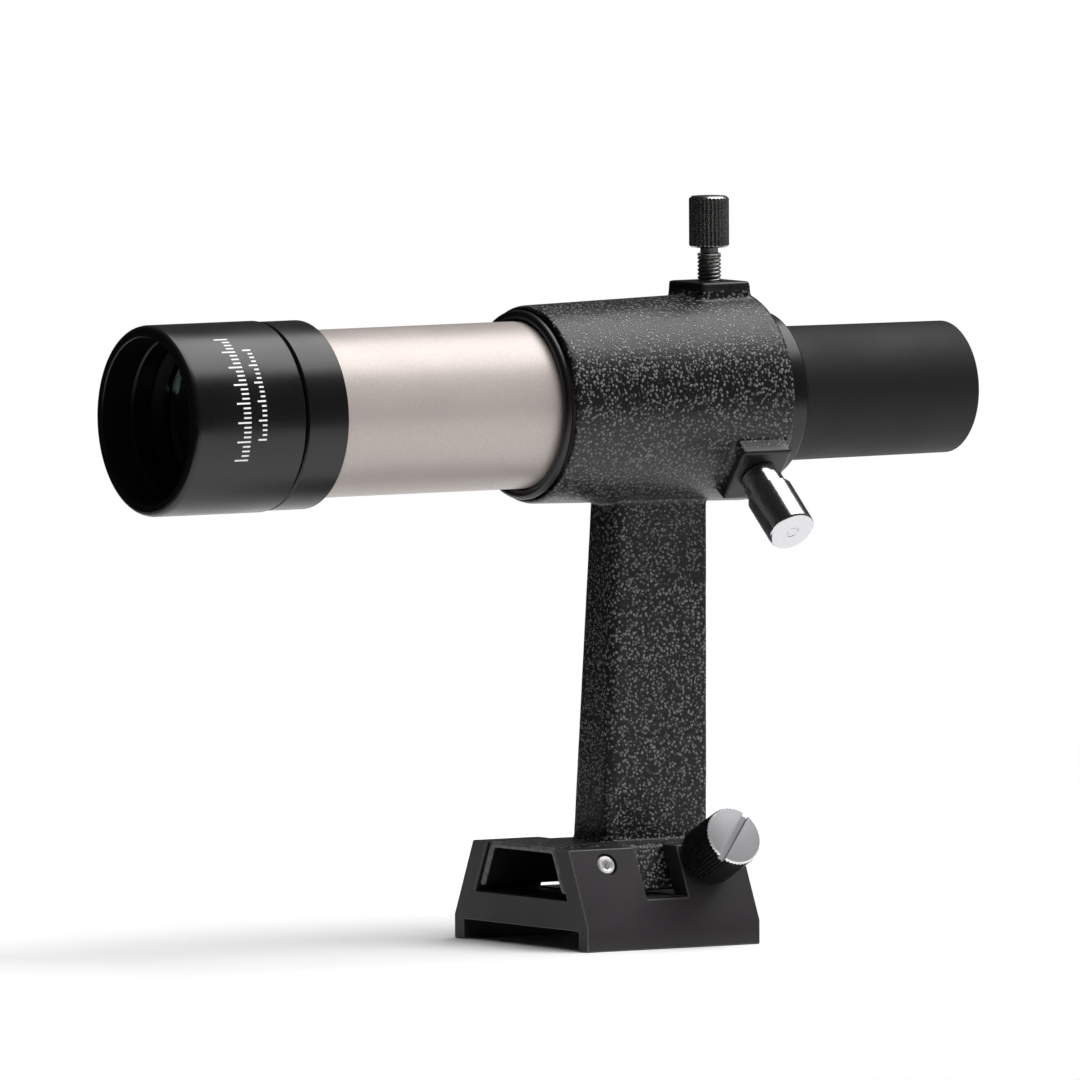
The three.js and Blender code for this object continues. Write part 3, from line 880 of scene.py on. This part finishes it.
class FINDER_OT_lens_rings(bpy.types.Operator):
    """Retaining rings and spacers, and the crosshair"""
    bl_idname = "finder.lens_rings"
    bl_label = "Lens rings and crosshair"

    def execute(self, context):
        bevelled = [(15.0, 97.9), (16.45, 97.9), (16.45, 100.2), (16.1, 100.2), (15.3, 98.6)]
        ring = turned_piece("objective_ring", bevelled, along_tube(), 0.06)
        for side in (-1, 1):
            height = AXIS_HEIGHT + side * 16.2
            low, high = (-0.8, 99.55, height - 0.8), (0.8, 100.6, height + 0.8)
            combine(ring, block("slot", low, high), "DIFFERENCE")
        dress(ring, matte_black(), "lens_pack", ["objective_retaining_ring"])
        self.sleeve("objective_spacer", OBJECTIVE_SEAT, 15.2, 93.95, 94.6, "lens_pack", "lens_spacer")
        self.sleeve("eyepiece_sleeve", EYEPIECE_SEAT, 10.1, -75.8, -62.5, "tube", "eyepiece_spacer")
        self.sleeve("eyepiece_ring", EYEPIECE_SEAT, 9.5, -58.9, -56.7, "tube", "eyepiece_retaining_ring")
        self.sleeve("reticle_frame", EYEPIECE_SEAT, 8.7, -50.6, -47.0, "tube", "reticle_ring")
        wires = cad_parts["crosshair_wires"]
        wires.data.materials.clear()
        wires.data.materials.append(plating())
        return {"FINISHED"}

    @staticmethod
    def sleeve(name, outer, inner, rear, front, body, node):
        outline = [(inner, rear), (outer, rear), (outer, front), (inner, front)]
        piece = turned_piece(name, outline, along_tube(), 0.08)
        dress(piece, matte_black(), body, [node])


# ---- bracket
class FINDER_OT_bracket(bpy.types.Operator):
    """Cast bracket: barrel, bosses, stalk and hollow foot"""
    bl_idname = "finder.bracket"
    bl_label = "Bracket casting"

    def execute(self, context):
        sizes = context.scene.finder_sizes
        casting = self.barrel()
        for angle in BOSSES:
            combine(casting, self.boss(angle), "UNION")
        combine(casting, self.stalk(), "UNION")
        combine(casting, self.foot(), "UNION")
        combine(casting, self.bore(), "DIFFERENCE")
        self.round_off(casting, sizes)
        for angle, radius in zip(BOSSES, (2.75, 2.75, 3.7)):
            combine(casting, rod("hole", radius, 10, 30, towards(angle)), "DIFFERENCE")
        dress(casting, powder_coat(), "bracket", ["bracket_casting"], angle=50)
        self.smooth_shaded_and_highlit_places(casting)
        return {"FINISHED"}

    @staticmethod
    def smooth_shaded_and_highlit_places(casting):
        """The bosses' sides have no specks; the inside of the foot is painted shade without specks, and its
        front rim is painted lighter as a painted highlight.
        """
        boss_start, boss_reach, foot_top, rim_start, leaning = 22.4, 8.5, 20.4, 20.75, 0.3
        casting.data.materials.append(unspeckled_coat_and_shade())
        casting.data.materials.append(rim_highlight_coat())
        bosses = [towards(angle).inverted() for angle in BOSSES]
        for face in casting.data.polygons:
            centre = face.center / MM
            on_boss = any(
                (at @ centre).z > boss_start and abs((at @ centre).x) < boss_reach for at in bosses)
            inwards = face.normal.z < -leaning or face.normal.x * centre.x < 0
            # Painted shade: the inward faces of the hollow foot lose their pale specks.
            in_foot_shade = centre.z < foot_top and inwards
            # Painted highlight: the front-facing faces of the foot's rim get the lighter coat.
            on_rim_highlight = centre.y > rim_start and centre.z < foot_top + 0.4 and face.normal.y > leaning
            if on_rim_highlight:
                face.material_index = 2
            elif on_boss or in_foot_shade:
                face.material_index = 1

    @staticmethod
    def barrel():
        rear, front = BARREL_REAR, BARREL_FRONT
        outline = [
            (0, rear), (21.1, rear), (21.65, rear + 0.7), (20.45, front - 1.2), (20.3, front - 0.5),
            (19.85, front), (0, front),
        ]
        return sharp_turned("bracket_body", outline, along_tube(), 160)

    @staticmethod
    def bore():
        """Tapered bore with a chamfer at both mouths, long enough to cut right through."""
        rear, front = BARREL_REAR, BARREL_FRONT
        outline = [
            (0, rear - 4.3), (20.95, rear - 4.3), (20.95, rear), (20.4, rear + 0.55), (18.7, front - 1.2),
            (19.9, front), (19.9, front + 5.8), (0, front + 5.8),
        ]
        return sharp_turned("bore", outline, along_tube(), 160)

    @staticmethod
    def boss(angle):
        foot = rounded_outline(14.6, 13.0, 0.6)
        face = rounded_outline(13.3, 11.8, 0.5)
        return loft("boss", foot, face, 12.0, 24.0, towards(angle))

    @staticmethod
    def stalk():
        low = [(x, y - 7.15) for x, y in rounded_outline(14.6, 24.7, 2.4, 0.7)]
        high = [(x, y - 9.8) for x, y in rounded_outline(11.0, 22.4, 2.2, 0.7)]
        return loft("stalk", low, high, 19.9, AXIS_HEIGHT - 18.8)

    @staticmethod
    def foot():
        """Hollow dovetail that keeps a little play to the groove's walls."""
        top, bottom, wall, roof, play = 20.9, 11.4, 1.9, 1.4, 0.45
        front, length = 21.2, 41.3
        right = [
            (groove_half(bottom) - play - wall, bottom), (groove_half(bottom) - play, bottom),
            (groove_half(top - 0.6) - play, top - 0.6), (groove_half(top) - play - 0.7, top),
        ]
        under = (groove_half(top - roof) - play - wall, top - roof)
        outline = right + [(-x, z) for x, z in reversed(right)] + [(-under[0], under[1]), under]
        place = Matrix.Translation((0, front, 0)) @ Matrix.Rotation(math.radians(90), 4, "X")
        return prism("foot", outline, length, place)

    @staticmethod
    def round_off(casting, sizes):
        """Remeshes the joined shape and smooths it, which leaves soft cast edges and fillets."""
        remesh = casting.modifiers.new("skin", "REMESH")
        remesh.mode = "VOXEL"
        remesh.voxel_size = sizes.cast_edge * MM
        smooth = casting.modifiers.new("soften", "SMOOTH")
        smooth.factor = 0.5
        smooth.iterations = sizes.cast_smooth
        apply_modifiers(casting)


def chamfer(radius, height, across, along, steps):
    """Points from one end of a chamfer to the other, going outwards or inwards by its signs."""
    return [(radius + across * k / steps, height + along * k / steps) for k in range(steps + 1)]


def adjuster(prefix):
    """Threaded stud with a neck, and its knurled head."""
    sizes = bpy.context.scene.finder_sizes
    place = towards({"top": TOP, "side": SIDE}[prefix])
    start, end, crest, core = 23.3, 29.6, 2.45, 2.12
    steps = int((end - start) / (sizes.pitch / 10))
    thread = [(crest, start + (end - start) * k / steps) for k in range(steps + 1)]
    outline = [(0, 17.55), (2.0, 17.55), (crest, 18.0)] + thread
    outline += [(1.85, 29.85), (1.85, 33.4), (0, 33.4)]
    cut = helix(core, crest, sizes.pitch, start, end)
    stud = sharp_turned(f"{prefix}_stud", outline, place, 64, cut)
    dress(stud, dark_steel("Stud steel", (0.3, 0.4)), f"{prefix}_stud",
          [f"{prefix}_adjuster_stud"])

    low, high, radius = 30.9, 41.5, 4.15
    outline = [(0, 33.7), (2.15, 33.7), (2.15, low), (2.6, low)]
    outline += chamfer(radius - 0.55, low, 0.55, 0.45, 6)
    outline += chamfer(radius, high - 0.55, -0.6, 0.55, 5) + [(0, high)]
    teeth = knurl(radius, sizes.knurl_depth, sizes.head_teeth)
    head = sharp_turned(f"{prefix}_knob", outline, place, sizes.head_teeth * 8, teeth)
    dress(head, dark_steel(), f"{prefix}_head", [f"{prefix}_adjuster_head"], angle=50)


class FINDER_OT_adjusters(bpy.types.Operator):
    """The two knurled adjusters of the bracket"""
    bl_idname = "finder.adjusters"
    bl_label = "Adjusters"

    def execute(self, context):
        adjuster("top")
        adjuster("side")
        return {"FINISHED"}


class FINDER_OT_plunger(bpy.types.Operator):
    """Spring plunger: stepped housing, pin and coil spring"""
    bl_idname = "finder.plunger"
    bl_label = "Spring plunger"

    def execute(self, context):
        place = towards(LOW_NEAR)
        end = 41.0
        outline = [
            (1.85, 19.9), (3.1, 19.9), (3.4, 20.2), (3.4, 24.3), (3.95, 24.35), (3.95, 26.6), (4.3, 26.8),
            (4.3, 29.7), (4.95, 30.0), (4.95, end - 0.35), (4.6, end), (1.4, end), (1.3, end - 0.14),
            (1.0, end - 0.14), (0.9, end - 0.03), (0, end - 0.03), (0, end - 3.6), (2.7, end - 3.6),
            (2.7, 21.5), (1.85, 21.5),
        ]
        housing = turned_piece("plunger_barrel", outline, place, 0.1, segments=96)
        chrome = plating("Polished chrome", (0.14, 0.2))
        dress(housing, chrome, "bracket", ["plunger_housing"])

        pin_outline = [
            (0, 17.55), (1.1, 17.55), (1.55, 18.0), (1.55, 23.2), (2.3, 23.2), (2.3, 24.6), (0, 24.6),
        ]
        pin = turned_piece("pressure_pin", pin_outline, place, 0.1, closed=False, segments=64)
        dress(pin, plating(), "pin", ["plunger_pin"])
        self.spring(place, 24.75, end - 3.7)
        return {"FINISHED"}

    @staticmethod
    def spring(place, start, end):
        """Closed wire coil that follows the pin at one end and the housing at the other."""
        coil, wire, turns, around = 1.85, 0.26, 7, 8
        steps = turns * 24
        vertices, faces = [], []
        for k in range(steps + 1):
            angle = 2 * math.pi * turns * k / steps
            height = start + wire + (end - start - 2 * wire) * k / steps
            for j in range(around):
                turn = 2 * math.pi * j / around
                r = coil + wire * math.cos(turn)
                vertices.append((r * math.cos(angle), r * math.sin(angle), height + wire * math.sin(turn)))
        for k in range(steps):
            for j in range(around):
                a, b = k * around + j, k * around + (j + 1) % around
                faces.append([a, b, b + around, a + around])
        faces += [list(range(around)), list(range(steps * around, (steps + 1) * around))]
        spring = make_object("coil_spring", vertices, faces, place)
        spring.data.materials.append(plating())
        spring.data.shade_smooth()
        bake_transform(spring)
        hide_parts("plunger_spring")


# ---- shoe
class FINDER_OT_shoe(bpy.types.Operator):
    """Dovetail shoe with its groove, windows and screw holes"""
    bl_idname = "finder.shoe"
    bl_label = "Dovetail shoe"

    def execute(self, context):
        half, top, rail, saddle = SHOE_HIGH[0], SHOE_HIGH[2], 3.6, 4.1
        length = SHOE_HIGH[1] - SHOE_LOW[1]
        right = [
            (half - rail, 0), (half, 0), (half, FLANK_SHOULDER), (flank_half(top), top),
            (GROOVE_TOP_HALF, top), (groove_half(GROOVE_FLOOR), GROOVE_FLOOR),
        ]
        outline = right + [(-x, z) for x, z in reversed(right)]
        outline += [(-half + rail, saddle), (half - rail, saddle)]
        place = Matrix.Translation((0, SHOE_HIGH[1], 0)) @ Matrix.Rotation(math.radians(90), 4, "X")
        shoe = prism("mounting_shoe", outline, length, place)
        for side in (-1, 1):
            xs = sorted((side * 11.0, side * 30.0))
            cut = block("window", (xs[0], -4.6, GROOVE_FLOOR), (xs[1], 5.5, top + 3))
            combine(shoe, cut, "DIFFERENCE")
        soften_edges(shoe, 0.3)
        for station, radius in ((CLAMP_STATION, 2.8), (SET_SCREW_STATION, 2.4)):
            combine(shoe, rod("hole", radius, -9, 4, out_of_flank(station), 64), "DIFFERENCE")
        dress(shoe, shoe_black(), "shoe", ["dovetail_shoe"], 25)
        self.paint_edge_highlights(shoe)
        return {"FINISHED"}

    @staticmethod
    def paint_edge_highlights(shoe):
        """The softened edges are painted lighter as a painted highlight, apart from those round the screw
        holes.
        """
        hole_reach, level = 3.2, 0.985
        shoe.data.materials.append(edge_highlight_anodising())
        flank = Vector((1, 0, FLANK_SLOPE)).normalized()
        axes = [Vector((1, 0, 0)), Vector((0, 1, 0)), Vector((0, 0, 1))]
        flat = axes + [flank, Vector((-flank.x, 0, flank.z))]
        holes = [out_of_flank(station).inverted() for station in (CLAMP_STATION, SET_SCREW_STATION)]
        for face in shoe.data.polygons:
            centre = face.center / MM
            in_hole = any((hole @ centre).xy.length < hole_reach for hole in holes)
            # Painted highlight: the edge faces get the lighter anodising.
            if not in_hole and max(abs(face.normal.dot(side)) for side in flat) < level:
                face.material_index = 1


class FINDER_OT_clamp_screw(bpy.types.Operator):
    """Clamp screw with a knurled and slotted head"""
    bl_idname = "finder.clamp_screw"
    bl_label = "Clamp screw"

    def execute(self, context):
        sizes = context.scene.finder_sizes
        place = out_of_flank(CLAMP_STATION)
        outline = [
            (0, -5.1), (SCREW_THREAD - 0.5, -5.1), (SCREW_THREAD, -4.6), (SCREW_THREAD, 0.6), (2.1, 0.8),
            (2.1, 3.4), (0, 3.4),
        ]
        stud = turned_piece("clamp_rod", outline, place, 0.1, closed=False, segments=64)
        dress(stud, plating(), "clamp_stud", ["clamp_screw_stud"])

        low, high, radius = 1.0, 13.17, 6.28
        outline = [(0, 3.8), (SCREW_THREAD, 3.8), (SCREW_THREAD, low), (3.5, low)]
        outline += chamfer(radius - 0.8, low, 0.8, 0.9, 6)
        outline += chamfer(radius, high - 0.45, -0.45, 0.45, 6) + [(0, high)]
        teeth = knurl(radius, sizes.knurl_depth, sizes.clamp_teeth)
        head = sharp_turned("clamp_knob", outline, place, sizes.clamp_teeth * 6, teeth)
        across = place @ Matrix.Rotation(SLOT_TURN, 4, "Z")
        slot = block("slot", (-9, -0.68, high - 1.25), (9, 0.68, high + 2), across)
        combine(head, slot, "DIFFERENCE")
        dress(head, anodised("Knob anodising", (0.2, 0.3)), "clamp_head",
              ["clamp_screw_head"], angle=50)
        self.bright_end(head, place, high)
        return {"FINISHED"}

    @staticmethod
    def bright_end(head, place, high):
        """The end face, its chamfer and the slot are bare metal."""
        head.data.materials.append(face_metal())
        head.data.materials.append(bright_steel())
        origin = place.translation * MM
        axis = (place.to_3x3() @ Vector((0, 0, 1))).normalized()
        for face in head.data.polygons:
            offset = face.center - origin
            depth = high - offset.dot(axis) / MM
            reach = offset.cross(axis).length / MM
            if 0.02 < depth < 0.5 and reach > 5.8:
                face.material_index = 2
            elif depth < 0.55 or (depth < 1.3 and reach < 5.9):
                face.material_index = 1


class FINDER_OT_set_screw(bpy.types.Operator):
    """Hex-socket set screw in the shoe's flank"""
    bl_idname = "finder.set_screw"
    bl_label = "Set screw"

    def execute(self, context):
        place = out_of_flank(SET_SCREW_STATION)
        outline = [
            (0, -5.0), (1.7, -5.0), (2.1, -4.6), (2.1, -0.85), (1.98, -0.4), (1.7, -0.12), (1.4, -0.12),
            (1.2, -0.35), (0, -0.35),
        ]
        screw = turned_piece("grub", outline, place, 0.12, closed=False, segments=72)
        socket = rod("socket", 1.15, -2.2, 1, place, segments=6)
        combine(screw, socket, "DIFFERENCE")
        dress(screw, bright_steel(), "grub_screw", ["set_screw"])
        return {"FINISHED"}


# ---- studio
class FINDER_OT_studio(bpy.types.Operator):
    """Pale round table, a wide overhead light, a fill light, a dim room and the camera"""
    bl_idname = "finder.studio"
    bl_label = "Studio"

    def execute(self, context):
        studio = context.scene.finder_studio
        self.table(studio.floor_radius, studio.floor_shift)
        self.room(context.scene, studio)
        self.lamps(studio)
        self.camera(context.scene, studio)
        context.scene.view_settings.view_transform = "Standard"
        return {"FINISHED"}

    @staticmethod
    def table(radius, middle):
        vertices = [(middle[0], middle[1], 0)]
        sides = 96
        for k in range(sides):
            angle = 2 * math.pi * k / sides
            vertices.append((middle[0] + radius * math.cos(angle), middle[1] + radius * math.sin(angle), 0))
        faces = [[0, 1 + k, 1 + (k + 1) % sides] for k in range(sides)]
        mesh = bpy.data.meshes.new("studio_table")
        mesh.from_pydata(vertices, [], faces)
        mesh.materials.append(studio_paper())
        table = bpy.data.objects.new("studio_table", mesh)
        bpy.context.scene.collection.objects.link(table)

    @staticmethod
    def room(scene, studio):
        """White behind the object, and dim wherever the surfaces mirror the room."""
        world = bpy.data.worlds.new("Studio room")
        scene.world = world
        world.use_nodes = True
        tree = world.node_tree
        path = tree.nodes.new("ShaderNodeLightPath")
        direction = tree.nodes.new("ShaderNodeTexCoord")
        parts = tree.nodes.new("ShaderNodeSeparateXYZ")
        tree.links.new(direction.outputs["Generated"], parts.inputs[0])
        walls = spread(tree, parts.outputs["Y"], 0.2, -1.0, studio.room_front, studio.room_back)
        strength = spread(tree, path.outputs["Is Camera Ray"], 0.0, 1.0, walls, 1.0)
        background = tree.nodes["Background"]
        background.inputs["Color"].default_value = (1.0, 1.0, 1.0, 1.0)
        tree.links.new(strength, background.inputs["Strength"])

    def lamps(self, studio):
        back, near = math.tan(studio.key_back), math.tan(studio.key_near)
        self.lamp("overhead", studio.key_strength, studio.key_spread, (-near, -back, 1))
        fill = self.lamp("fill", studio.fill_strength, math.radians(80), (-1, -0.35, 1))
        fill.visible_glossy = False

    @staticmethod
    def lamp(name, strength, spread_angle, source):
        """Far light that shines from the given direction."""
        light = bpy.data.lights.new(name, "SUN")
        light.energy = strength
        light.angle = spread_angle
        lamp = bpy.data.objects.new(name, light)
        bpy.context.scene.collection.objects.link(lamp)
        lamp.rotation_euler = (-Vector(source)).to_track_quat("-Z", "Y").to_euler()
        return lamp

    @staticmethod
    def camera(scene, studio):
        azimuth, elevation = studio.azimuth, studio.elevation
        out = math.cos(elevation)
        back = Vector((math.sin(azimuth) * out, -math.cos(azimuth) * out, math.sin(elevation)))
        target = Vector((0, 0.01644, 0.08346))
        data = bpy.data.cameras.new("camera")
        data.lens = studio.lens
        data.sensor_width = 36.0
        data.clip_end = 50.0
        camera = bpy.data.objects.new("camera", data)
        scene.collection.objects.link(camera)
        camera.location = target + back * studio.distance
        aim = (-back).to_track_quat("-Z", "Y").to_matrix() @ Matrix.Rotation(studio.roll, 3, "Z")
        camera.rotation_euler = aim.to_euler()
        scene.camera = camera


# ---- panel and run
OPERATORS = (
    FINDER_OT_shoe, FINDER_OT_clamp_screw, FINDER_OT_set_screw, FINDER_OT_bracket, FINDER_OT_adjusters,
    FINDER_OT_plunger, FINDER_OT_rubber_ring, FINDER_OT_main_tube, FINDER_OT_rear_collar,
    FINDER_OT_eyepiece, FINDER_OT_lock_ring, FINDER_OT_hood, FINDER_OT_lenses, FINDER_OT_lens_rings,
    FINDER_OT_studio,
)


class FINDER_PT_panel(bpy.types.Panel):
    """Lists the settings and the pieces"""
    bl_label = "Finder scope"
    bl_idname = "FINDER_PT_panel"
    bl_space_type = "VIEW_3D"
    bl_region_type = "UI"
    bl_category = "Finder"

    def draw(self, context):
        layout = self.layout
        for group in (context.scene.finder_sizes, context.scene.finder_colours, context.scene.finder_studio):
            box = layout.box()
            for name in group.bl_rna.properties.keys():
                if name not in ("rna_type", "name"):
                    box.prop(group, name)
        for operator in OPERATORS:
            layout.operator(operator.bl_idname)


CLASSES = (FinderSizes, FinderColours, FinderStudio) + OPERATORS + (FINDER_PT_panel,)


def register():
    for cls in CLASSES:
        bpy.utils.register_class(cls)
    bpy.types.Scene.finder_sizes = bpy.props.PointerProperty(type=FinderSizes)
    bpy.types.Scene.finder_colours = bpy.props.PointerProperty(type=FinderColours)
    bpy.types.Scene.finder_studio = bpy.props.PointerProperty(type=FinderStudio)


def unregister():
    del bpy.types.Scene.finder_studio
    del bpy.types.Scene.finder_colours
    del bpy.types.Scene.finder_sizes
    for cls in reversed(CLASSES):
        bpy.utils.unregister_class(cls)


def main():
    register()
    for operator in OPERATORS:
        group, name = operator.bl_idname.split(".")
        result = getattr(getattr(bpy.ops, group), name)()
        if result != {"FINISHED"}:
            raise RuntimeError(f"{operator.bl_label} was not finished")


if __name__ == "__main__":
    main()
